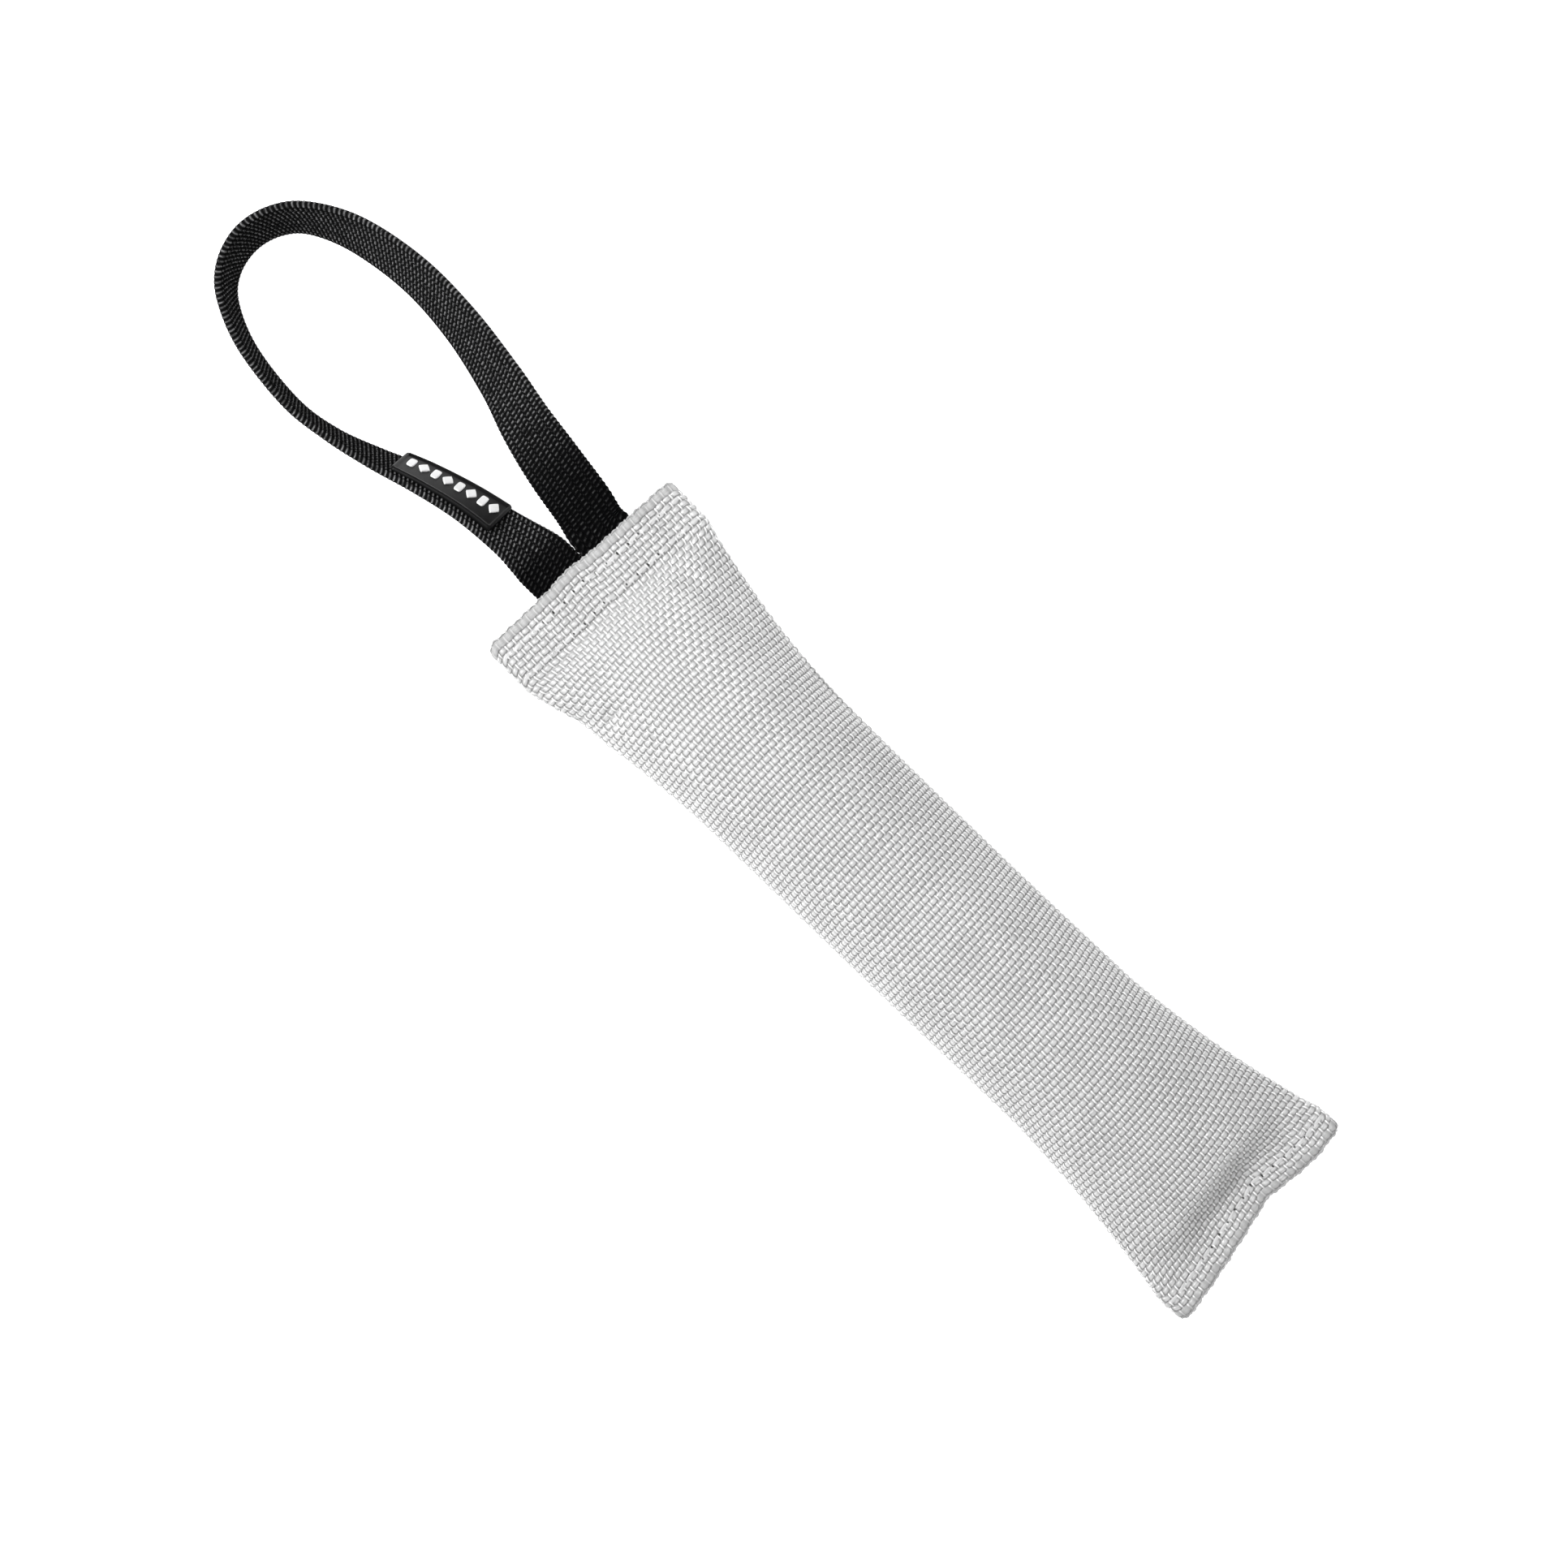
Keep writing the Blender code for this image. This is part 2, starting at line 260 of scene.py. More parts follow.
def grid_quads(rows, around):
    """Quads and vertex numbers of a grid that is closed round and open along."""
    index = np.arange(rows * around).reshape(rows, around)
    following = np.roll(index, -1, axis=1)
    quads = np.stack([index[:-1], following[:-1], following[1:], index[1:]], axis=-1)
    return quads.reshape(-1, 4), index, following


def linked(name, data):
    """A new object in the scene."""
    made = bpy.data.objects.new(name, data)
    bpy.context.scene.collection.objects.link(made)
    return made


# -------- the jacket's surface


def taper(distance, power):
    return np.clip(1 - np.maximum(distance, 0) / TAPER_LENGTH, 0, 1) ** power


def half_width(along):
    near = taper(along - HANDLE_HEM, HANDLE_TAPER_POWER)
    far = taper(TUBE_LENGTH - FAR_HEM - along, FAR_TAPER_POWER)
    return MIDDLE_HALF + (FLAT_WIDTH / 2 - MIDDLE_HALF) * np.maximum(near, far)


def half_thickness(half):
    """Half the thickness of an oval of this half width whose girth is the flat tube's."""
    low, high = np.zeros_like(half), np.full_like(half, FLAT_WIDTH / 2)
    for _ in range(40):
        tried = (low + high) / 2
        girth = math.pi * (3 * (half + tried) - np.sqrt((3 * half + tried) * (half + 3 * tried)))
        short = girth < GIRTH
        low, high = np.where(short, tried, low), np.where(short, high, tried)
    return low


def slit_half(along, across):
    """Half the height between a hem's two sides, which opens for the strap's two tails."""
    low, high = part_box("strap_tail_left")[0][1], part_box("strap_tail_right")[1][1]
    past = np.abs(across - (low + high) / 2) - (high - low) / 2
    opened = STRAP_THICKNESS / 2 + STRAP_CLEARANCE
    near = FAR_SLIT_HALF + (opened - FAR_SLIT_HALF) * (1 - smooth(past / 0.008))
    return np.where(along > TUBE_LENGTH / 2, FAR_SLIT_HALF, near)


def pulled(grid, length):
    """How far each point is moved along: the handle hem bulges out, and the far edge dips in."""
    along = (np.arange(len(grid)) / (len(grid) - 1) * length)[:, None]
    across = grid[..., 1]
    handle = -EDGE_OUT - 0.0009 * bell(across + 0.004, 0.006) + 0.00012 * np.sin(across * 900)
    from_dip = across - 0.0075
    reach = np.where(from_dip > 0, 0.020, 0.037)
    dip = np.clip(1 - np.abs(from_dip) / reach, 0, 1)
    far = -0.0040 * dip ** 1.3 + 0.00012 * np.sin(across * 700) + 0.0006 * bell(across + 0.039, 0.006)
    corner = 0.0014 * bell(np.abs(across) - 0.0400, 0.0017)
    near_share, far_share = 1 - rise(along, 0, 0.040), 1 - rise(length - along, 0, 0.034)
    return (handle + corner) * near_share + (far - corner) * far_share


def folds(along, round_turn, across):
    """Soft creases in the stuffed tube: a dimple low on the left flank and a few long shallow folds."""
    top = np.sin(round_turn * math.tau) > 0
    past_seam = along - 0.03
    far = TUBE_LENGTH - along
    spread = (far - 0.01) * 0.25
    begun = rise(along, 0.018, 0.01) * top
    dent = 0.0017 * bell(along - 0.040, 0.0032) * bell(across + 0.0285, 0.0036) * top
    flank = 0.0011 * bell(along - 0.034, 0.0060) * bell(across + 0.0370, 0.0060)
    shoulder = 0.0010 * bell(across - 0.022 - past_seam * 0.10, 0.0035) * (1 - rise(along, 0.07, 0.05))
    slope = 0.0008 * bell(across + 0.021 + past_seam * 0.10, 0.0035) * (1 - rise(along, 0.05, 0.03))
    valley = 0.0003 * bell(across - 0.0075, 0.0045) * rise(far, 0.006, 0.004) * (1 - rise(far, 0.014, 0.03))
    rays = bell(across + 0.012 + spread, 0.003) + bell(across - 0.024 - spread, 0.003)
    rays = 0.0004 * rays * (1 - rise(far, 0.010, 0.022))
    return dent + flank + (shoulder + slope) * begun + valley + rays


def section_heights(along, a, t, across):
    """Height above the middle plane of the tube's outside, at these stations and angles."""
    past_hem = np.minimum(a - HANDLE_HEM, TUBE_LENGTH - FAR_HEM - a)
    level = np.abs(np.sin(t))
    flat = (slit_half(a, across) + HEM_WALL) * level ** 0.3
    oval = half_thickness(np.minimum(half_width(along), FLAT_WIDTH / 2 - 0.0002))[:, None]
    share = 1 - smooth(past_hem / HEM_TO_BODY)
    solid = flat * share + oval * level * (1 - share)
    half = half_width(a)
    lens = half * np.sqrt(1.5 * np.maximum(FLAT_WIDTH / 2 / half - 1, 0.0001))
    lensed = LENS_SHARE * (1 - smooth(past_hem / LENS_REACH))
    full = (oval * (1 - lensed) + lens * lensed) * level ** (1 + lensed)
    climb = np.where(a < TUBE_LENGTH / 2, *PILLOW_CLIMB)
    share = 1 - rise(past_hem, -0.0016, climb)
    height = np.minimum(flat * share + full * (1 - share), solid + MOST_MOVE)
    return np.maximum(height * np.sign(np.sin(t)), -MIDDLE_Z)


def section_rows(along, count):
    """The tube's outside at these stations: points equally spaced round, from the +Y edge over the top."""
    turn = np.linspace(0, math.tau, 1441)
    a, t = np.meshgrid(along, turn, indexing="ij")
    across = half_width(a) * np.cos(t)
    height = section_heights(along, a, t, across)
    steps = np.hypot(np.diff(across, axis=1), np.diff(height, axis=1))
    length = np.insert(np.cumsum(steps, axis=1), 0, 0, axis=1)
    rows = np.empty((len(along), count, 3))
    wanted = np.arange(count) / count
    for i, place in enumerate(along / TUBE_LENGTH):
        share_round = length[i] / length[i, -1]
        y = np.interp(wanted, share_round, across[i])
        z = np.interp(wanted, share_round, height[i])
        skew = HANDLE_END_SKEW + (FAR_END_SKEW - HANDLE_END_SKEW) * place
        bow = -SIDE_BOW * math.sin(math.pi * min(max(place, 0), 1)) ** 0.7
        rows[i] = np.stack([HEM_X + along[i] + skew * y, y + bow, MIDDLE_Z + z], axis=1)
    return rows


def grid_normals(grid):
    """Outward normals of a grid that is closed round and open along."""
    round_way = np.roll(grid, -1, axis=1) - np.roll(grid, 1, axis=1)
    normals = unit(np.cross(round_way, np.gradient(grid, axis=0)))
    middle = grid.mean(axis=1, keepdims=True)
    return -normals if ((grid - middle) * normals).sum() < 0 else normals


def evenly_long(rows, count):
    """The same surface with its rows equally spaced along each warp's own path."""
    steps = np.linalg.norm(np.diff(rows, axis=0), axis=2)
    length = np.insert(np.cumsum(steps, axis=0), 0, 0, axis=0)
    wanted, shares = np.linspace(0, 1, count), length / length[-1]
    even = [read_at(wanted, shares[:, k], rows[:, k]) for k in range(rows.shape[1])]
    return np.stack(even, axis=1), length[-1].max()


def cloth_object(grid, length):
    """The start of the simulation: the filled tube, its hems held, cut flat as its rest shape."""
    rows, around = grid.shape[:2]
    inset = 0.0006 * np.sin(np.linspace(0, math.pi, rows))[:, None, None]
    start = grid - grid_normals(grid) * inset
    mesh = bpy.data.meshes.new("blown")
    quads, index, _ = grid_quads(rows, around)
    mesh.from_pydata(start.reshape(-1, 3).tolist(), [], quads.tolist())
    cloth = linked("blown", mesh)
    along = np.arange(rows) / (rows - 1) * length
    hold = cloth.vertex_groups.new(name="hold")
    held = (along < HANDLE_HEM - 0.001) | (along > length - FAR_HEM + 0.001)
    hold.add(index[held].ravel().tolist(), 1.0, "REPLACE")
    cloth.shape_key_add(name="Basis")
    flat = cloth.shape_key_add(name="cut")
    y, z = circle(around)
    tube = np.stack(np.broadcast_arrays(along[:, None], y * GIRTH / math.tau, z * GIRTH / math.tau), axis=-1)
    flat.data.foreach_set("co", tube.astype(np.float32).ravel())
    return cloth, flat


def inflated(grid, length):
    """Cloth simulation of the filled tube: flat-cut fabric, both hems held, blown up from inside."""
    cloth, flat = cloth_object(grid, length)
    sheet = cloth.modifiers.new("cloth", "CLOTH")
    for key, value in CLOTH_SETTINGS.items():
        setattr(sheet.settings, key, value)
    sheet.settings.rest_shape_key = flat
    sheet.settings.effector_weights.gravity = 0.0
    sheet.collision_settings.use_collision = False
    sheet.point_cache.frame_start = 1
    sheet.point_cache.frame_end = SIMULATED_FRAMES
    scene = bpy.context.scene
    for step in range(1, SIMULATED_FRAMES + 1):
        scene.frame_set(step)
    data = cloth.evaluated_get(bpy.context.evaluated_depsgraph_get()).to_mesh()
    points = np.empty(len(data.vertices) * 3, np.float32)
    data.vertices.foreach_get("co", points)
    blown = points.astype(float).reshape(grid.shape)
    bpy.data.objects.remove(cloth, do_unlink=True)
    scene.frame_set(1)
    return blown


def jacket_grid():
    """The jacket's outside: rows along from the handle hem's edge, points round from the +Y edge."""
    rows = section_rows(TUBE_LENGTH * np.linspace(0, 1, 401), GRID_ROUND)
    grid, length = evenly_long(rows, GRID_LONG)
    moved = inflated(grid, length) - grid
    far = np.linalg.norm(moved, axis=2, keepdims=True)
    grid = grid + moved * np.minimum(1, MOST_MOVE / np.maximum(far, 1e-9))
    grid[..., 0] += pulled(grid, length)
    turn = np.arange(GRID_ROUND) / GRID_ROUND
    depth = folds(grid[..., 0] - HEM_X, turn[None, :], grid[..., 1])
    grid = grid - grid_normals(grid) * depth[..., None]
    grid[..., 2] = np.maximum(grid[..., 2], 0.0)
    return grid, length


def turned_in(body, normals, row_step):
    """Rows over the fold at the first row and back inside the tube, and how far each lies past it."""
    edge, normal = body[0], normals[0]
    out = unit(edge - body[1])
    out = unit(out - normal * (out * normal).sum(axis=1, keepdims=True))
    rows, at = [], []
    for angle in math.pi * np.arange(1, 5) / 4:
        rows.append(edge + (out * math.sin(angle) + normal * (math.cos(angle) - 1)) * FOLD_RADIUS)
        at.append(FOLD_RADIUS * angle)
    for back in TURNED_IN * np.arange(1, 6) / 5:
        low = int(back / row_step)
        share = back / row_step - low
        rows.append(body[low] * (1 - share) + body[low + 1] * share - normal * 2 * FOLD_RADIUS)
        at.append(FOLD_RADIUS * math.pi + back)
    return np.array(rows), np.array(at)


class Cloth:
    """The jacket's yarn surface, with both mouths turned in, read at any distance along and turn round."""

    def __init__(self, outside, length):
        normals = grid_normals(outside)
        body = outside - normals * YARN_DEPTH
        step = np.linalg.norm(body[1] - body[0], axis=1).mean()
        near, at = turned_in(body, normals, step)
        far, _ = turned_in(body[::-1], normals[::-1], step)
        self.points = np.concatenate([near[::-1], body, far])
        self.places = np.concatenate([-at[::-1], np.linspace(0, length, len(outside)), length + at])
        self.length = length
        self.normals = grid_normals(self.points)

    def at(self, along, turn):
        """Points and outward normals at these distances along (metres) and turns round (0 to 1)."""
        rows, around = self.points.shape[:2]
        place = np.interp(along, self.places, np.arange(rows))
        i = np.clip(np.floor(place).astype(int), 0, rows - 2)
        turned = (turn % 1.0) * around
        k = np.floor(turned).astype(int)
        s, t = (place - i)[..., None], (turned - k)[..., None]
        points = normals = 0
        for a, weight_a in enumerate(cubic(s), -1):
            row = np.clip(i + a, 0, rows - 1)
            for b, weight_b in enumerate(cubic(t), -1):
                points = points + self.points[row, (k + b) % around] * weight_a * weight_b
        for a, weight_a in enumerate((1 - s, s)):
            for b, weight_b in enumerate((1 - t, t)):
                normals = normals + self.normals[i + a, (k + b) % around] * weight_a * weight_b
        return points, unit(normals)

    def rows_at(self, along):
        """Whole rows round: each point's distance along and turn, the point and its outward normal."""
        a, t = np.meshgrid(along, np.arange(GRID_ROUND) / GRID_ROUND, indexing="ij")
        return a, t, *self.at(a, t)

    def frame_at(self, along, turn, ahead_by, turn_by):
        """Points, outward normals and directions across a yarn, found a small step to each side."""
        centre, normal = self.at(along, turn)
        ahead, _ = self.at(along + ahead_by, turn + turn_by)
        behind, _ = self.at(along - ahead_by, turn - turn_by)
        return centre, normal, unit(ahead - behind)


def cubic(t):
    """Catmull-Rom weights of the four points round a place between the middle two."""
    return (
        0.5 * (-t + 2 * t ** 2 - t ** 3),
        0.5 * (2 - 5 * t ** 2 + 3 * t ** 3),
        0.5 * (t + 4 * t ** 2 - 3 * t ** 3),
        0.5 * (-t ** 2 + t ** 3),
    )


# -------- meshes of yarns


def outward(points, faces):
    """The same faces, all turned round if the body they bound is inside out."""
    volume = 0
    for ways in ([0, 1, 2], [0, 2, 3]):
        corners = points[faces[:, ways]]
        volume += np.einsum("ij,ij->", corners[:, 0], np.cross(corners[:, 1], corners[:, 2]))
    return faces[:, ::-1] if volume < 0 else faces


def mesh_piece(name, points, faces, attributes, material):
    """A smooth closed piece from an array of points and quads, with float attributes on its points."""
    flat = points.reshape(-1, 3)
    corners = np.asarray(outward(flat, faces), np.int32)
    mesh = bpy.data.meshes.new(name)
    mesh.vertices.add(len(flat))
    mesh.vertices.foreach_set("co", flat.astype(np.float32).ravel())
    mesh.loops.add(corners.size)
    mesh.loops.foreach_set("vertex_index", corners.ravel())
    mesh.polygons.add(len(corners))
    mesh.polygons.foreach_set("loop_start", np.arange(len(corners), dtype=np.int32) * 4)
    mesh.update(calc_edges=True)
    for key, values in attributes.items():
        layer = mesh.attributes.new(key, "FLOAT", "POINT")
        spread = np.broadcast_to(values, points.shape[:-1])
        layer.data.foreach_set("value", spread.astype(np.float32).ravel())
    mesh.materials.append(material)
    mesh.shade_smooth()
    return linked(name, mesh)


def tube_faces(points, closed=False):
    """Quads of tubes whose points are ordered strand, station, side. Open tubes get flat ends, which
    need an even number of sides."""
    index = np.arange(points.size // 3).reshape(points.shape[:3])
    if closed:
        index = np.concatenate([index, index[:, :1]], axis=1)
    following = np.roll(index, -1, axis=2)
    quads = np.stack([index[:, :-1], following[:, :-1], following[:, 1:], index[:, 1:]], axis=-1)
    faces = [quads.reshape(-1, 4)]
    if not closed:
        for ring in (index[:, 0, ::-1], index[:, -1]):
            for s in range(1, ring.shape[1] - 1, 2):
                faces.append(ring[:, [0, s, s + 1, s + 2]])
    return np.concatenate(faces)


def swept(centre, normal, side, up, across):
    """Points of a section carried along: up lies along the normal, across along the side."""
    return (
        centre[..., None, :]
        + normal[..., None, :] * up[..., None]
        + side[..., None, :] * across[..., None]
    )


def rounded_section(sides, power):
    """A flattened round outline, x across and y up, each within 1 of the middle."""
    x, y = circle(sides, 0.5)
    return np.sign(x) * np.abs(x) ** power, np.sign(y) * np.abs(y) ** power


WEFT_SECTION = rounded_section(8, 0.72)
# Two plies side by side: a groove runs along the middle of the top.
WARP_SECTION = (
    np.array([1.0, 0.52, 0.0, -0.52, -1.0, 0.0]),
    np.array([0.0, 1.0, 0.45, 1.0, 0.0, -1.0]),
)


def snapped(wave):
    """A cosine with flatter tops, as yarns lie between crossings."""
    return wave * (1.5 - 0.5 * wave * wave)


def wandering(strands, stations, every):
    """Smooth random waves along each strand, closed on themselves, each about within 1 of zero."""
    knots = max(4, stations // every)
    draws = RANDOM.normal(0, 0.5, (strands, knots))
    place = np.arange(stations) / stations * knots
    i = np.floor(place).astype(int)
    t = smooth(place - i)
    return draws[:, i % knots] * (1 - t) + draws[:, (i + 1) % knots] * t


def weft_rows(cloth):
    """Where each weft lies along: one right on each turned edge, the rest a pitch apart."""
    count = round((cloth.length + 2 * FOLD_QUARTER) / WEFT_PITCH)
    return np.linspace(-FOLD_QUARTER, cloth.length + FOLD_QUARTER, count + 1), count + 1


def pressed_edge(cloth, along, turn):
    """1 where the folded edge is pressed smooth, 0 on the open weave."""
    start = 0.0005 * np.sin(turn * 190) + 0.0004 * np.sin(turn * 67 + 1) - 0.0004
    near = 1 - rise(along, PRESSED[0] + start, 0.0008)
    far = 1 - rise(cloth.length - along, PRESSED[1] + start, 0.0008)
    return np.maximum(near, far)


def yarn_attributes(length, sides, numbers):
    """Distance along its yarn, turn round its section and a number of its own, for every point."""
    own = (np.asarray(numbers, float) * 0.6180339) % 1.0
    return {"run": length[:, None], "turn": np.arange(sides) / sides, "own": own[:, None, None]}


def yarn_piece(name, laid, sizes, section, pressed, wave, attributes, material):
    """A set of crimped yarns: where they are laid, then their lift, half width and half thickness."""
    x, y = section
    lift, half_wide, half_thick = (size[..., None] for size in sizes)
    points = swept(*laid, lift + half_thick * y, half_wide * x)
    attributes["pressed"] = pressed[..., None]
    # 1 on the crown of a float, 0 where the yarn dives or turns under, higher on the yarn's top than on its
    # sides: the mask for painted light on the crowns and painted shade in the dives and along the sides
    attributes["crest"] = rise(wave, -0.5, 0.9)[..., None] * (0.5 + 0.5 * y)
    return mesh_piece(name, points, tube_faces(points, "wefts" in name), attributes, material)


def batches(count, per_piece):
    """The number of each piece, from 1, and which strands it holds."""
    return enumerate((slice(start, start + per_piece) for start in range(0, count, per_piece)), 1)


def build_wefts(cloth, material):
    between, count = weft_rows(cloth)
    pitch = between[1] - between[0]
    before = [between[0] - pitch * n for n in (2, 1)]
    after = [between[-1] + pitch * n for n in (1, 2)]
    places = np.concatenate([before, between, after])
    numbers = np.arange(-2, count + 2)
    pieces = []
    for serial, which in batches(len(places), WEFTS_PER_PIECE):
        pieces.append(weft_piece(cloth, f"jacket_wefts_{serial}", places[which], numbers[which], material))
    return pieces


def weft_piece(cloth, name, places, numbers, material):
    strands, stations = len(places), WARP_COUNT * STEPS_PER_CROSSING
    turn = np.arange(stations) / stations
    crossing = turn * WARP_COUNT
    wave = np.cos(math.pi * (crossing + numbers[:, None]))
    along = places[:, None] + wandering(strands, stations, 9) * 0.00010
    turns = np.broadcast_to(turn, along.shape)
    pressed = pressed_edge(cloth, along, turns)
    under = smooth((0.25 - wave) / 0.9) * (1 - 0.6 * pressed)
    from_fold = np.minimum(np.abs(places + FOLD_QUARTER), np.abs(places - cloth.length - FOLD_QUARTER))
    on_fold = bell(from_fold, 0.0008)[:, None]
    fat = 1 + 0.05 * wandering(strands, stations, 40)
    lumps = np.cos(math.tau * crossing)
    uneven = 0.40 * wandering(strands, stations, 5) + 0.16 * lumps
    half_wide = WEFT_HALF_WIDTH * (1 - 0.10 * under + pressed * (0.48 + 0.12 * lumps)) * fat
    half_thick = WEFT_HALF_THICKNESS * (1 - 0.20 * under) * (1 + pressed * uneven)
    lift = WEFT_CRIMP * snapped(wave) * (1 + 0.20 * pressed) - 0.00006 * pressed
    sizes = lift, half_wide * (1 - 0.60 * on_fold), half_thick * (1 - 0.22 * on_fold)
    attributes = yarn_attributes(turn * GIRTH, len(WEFT_SECTION[0]), numbers)
    laid = cloth.frame_at(along, turns, 0.0004, 0)
    return yarn_piece(name, laid, sizes, WEFT_SECTION, pressed, wave, attributes, material)


def build_warps(cloth, material):
    pieces = []
    for serial, which in batches(WARP_COUNT, WARPS_PER_PIECE):
        pieces.append(warp_piece(cloth, f"jacket_warps_{serial}", np.arange(WARP_COUNT)[which], material))
    return pieces


def warp_piece(cloth, name, numbers, material):
    rows, count = weft_rows(cloth)
    first, last = (round(end * STEPS_PER_CROSSING) for end in (-1.9, count + 0.9))
    crossing = np.arange(first, last + 1) / STEPS_PER_CROSSING
    along = rows[0] + crossing * (rows[1] - rows[0])
    strands, stations = len(numbers), len(along)
    wave = -np.cos(math.pi * (crossing + numbers[:, None]))
    turn = (numbers[:, None] + 0.035 * wandering(strands, stations, 12)) / WARP_COUNT
    places = np.broadcast_to(along, turn.shape)
    pressed = pressed_edge(cloth, places, turn)
    lift = WARP_CRIMP * snapped(wave) * (1 - 0.50 * pressed) - 0.00004 * pressed
    fat = 1 + 0.07 * wandering(strands, stations, 30)
    sizes = lift, WARP_HALF_WIDTH * fat * (1 + 0.12 * wave), WARP_HALF_THICKNESS * fat
    attributes = yarn_attributes(along, len(WARP_SECTION[0]), numbers + 0.5)
    laid = cloth.frame_at(places, turn, 0, 0.002)
    return yarn_piece(name, laid, sizes, WARP_SECTION, pressed, wave, attributes, material)


def build_ground(cloth, material):
    """The dense inner side of the cloth, which closes the weave's gaps: a closed shell, turned in."""
    low, high = cloth.places[0] + 0.0003, cloth.places[-1] - 0.0003
    near = np.linspace(low, 0.001, 12)
    middle = np.linspace(0.0022, cloth.length - 0.0022, 150)
    far = np.linspace(cloth.length - 0.001, high, 12)
    a, _, centre, normal = cloth.rows_at(np.concatenate([near, middle, far]))
    quads, index, following = grid_quads(*a.shape)
    below = index.size
    faces = [quads, quads[:, ::-1] + below]
    for row, way in ((0, 1), (-1, -1)):
        here, ahead = index[row], following[row]
        faces.append(np.stack([here, here + below, ahead + below, ahead], axis=-1)[:, ::way])
    points = np.stack([centre - normal * 0.00004, centre - normal * 0.00030])
    return mesh_piece("jacket_ground", points, np.concatenate(faces), {}, material)


def build_filling(cloth, material):
    """The roll of filling: a slightly lumpy body inside the jacket, closed by a fan at each end."""
    a, t, centre, _ = cloth.rows_at(np.linspace(0.0250, cloth.length - 0.0200, 160))
    lumps = 0.0003 * np.sin(a * 260 + 3 * np.sin(t * 25)) * np.sin(t * math.tau * 9 + a * 60)
    from_middle = unit(centre - centre.mean(axis=1, keepdims=True))
    points = centre - from_middle * (0.0024 + lumps)[..., None]
    flat = np.concatenate([points.reshape(-1, 3), points[[0, -1]].mean(axis=1)])
    quads, index, following = grid_quads(*a.shape)
    cap = index.size
    faces = quads.tolist()
    for k in range(GRID_ROUND):
        faces.append([cap, int(following[0, k]), int(index[0, k])])
        faces.append([cap + 1, int(index[-1, k]), int(following[-1, k])])
    if outward(flat, quads) is not quads:
        faces = [face[::-1] for face in faces]
    mesh = bpy.data.meshes.new("filling")
    mesh.from_pydata(flat.tolist(), [], faces)
    mesh.materials.append(material)
    mesh.shade_smooth()
    return linked("filling", mesh)


# -------- seams


def build_seam(cloth, name, along, upper, material, pit_shade_material):
    """One thread of a lockstitched row: flat stitches that dive at each needle hole."""
    start = (0.25 if upper else 0.75) - SEAM_REACH
    count = round(2 * SEAM_REACH * GIRTH / STITCH)
    place = np.arange(count * STITCH_STEPS) / STITCH_STEPS
    share = place % 1.0
    arch = np.maximum(np.sin(math.pi * share), 0) ** 0.55
    turn = start + 2 * SEAM_REACH * place / count
    wobble = wandering(1, len(turn), 14)[0] * 0.00010 + 0.00028 * (share - 0.5)
    centre, normal = cloth.at(along + wobble, turn)
    side = unit(np.cross(normal, unit(np.gradient(centre, axis=0))))
    x, y = circle(SEAM_SIDES)
    three_lobed = y * (1 + 0.16 * (4 * x ** 3 - 3 * x))
    up = (-0.00040 + 0.00093 * arch)[:, None] + 0.00016 * three_lobed
    points = swept(centre, normal, side, up, (0.00030 + 0.00040 * arch)[:, None] * x)[None]
    attributes = yarn_attributes(turn * GIRTH, SEAM_SIDES, [along * 1000])
    thread = mesh_piece(name, points, tube_faces(points), attributes, material)
    pits = painted_hole_shade(cloth, name + "_holes", along, start, count, pit_shade_material) if upper else None
    return thread, pits


def painted_hole_shade(cloth, name, along, start, count, material):
    """The pits that the needle left between stitches, as small dark lens-shaped plugs: painted shade in each
    pit. They are larger over the middle, where the strap's black tails lie under the hem.
    """
    turn = start + 2 * SEAM_REACH * np.arange(1, count) / count
    turn = turn + RANDOM.normal(0, 0.00035, len(turn))
    centre, normal = cloth.at(np.full(len(turn), along), turn)
    over_strap = 1 - rise(np.abs(centre[:, 1] - 0.003), 0.021, 0.010)
    size = RANDOM.uniform(0.7, 1.1, len(turn)) * (0.45 + 0.75 * over_strap)
    ahead, _ = cloth.at(np.full(len(turn), along + 0.0004), turn)
    long_way = unit(ahead - centre)
    round_way = unit(np.cross(normal, long_way))
    latitude = np.linspace(-0.92, 0.92, 5)[:, None] * math.pi / 2
    x, y = circle(8)
    out = np.cos(latitude) * size[:, None, None]
    rings = (
        (long_way, out * x * HOLE_LONG),
        (round_way, out * y * HOLE_WIDE),
        (normal, 0.00040 + np.sin(latitude) * 0.00018),
    )
    points = centre[:, None, None] + sum(way[:, None, None] * reach[..., None] for way, reach in rings)
    return mesh_piece(name, points, tube_faces(points), {}, material)


# -------- webbing


def spline(points, steps):
    points = np.asarray(points, float)
    ends = np.concatenate([[2 * points[0] - points[1]], points, [2 * points[-1] - points[-2]]])
    t = np.arange(steps)[:, None] / steps
    found = []
    for i in range(len(points) - 1):
        found.append(sum(ends[i + n] * weight for n, weight in enumerate(cubic(t))))
    return np.concatenate([*found, points[-1:]])


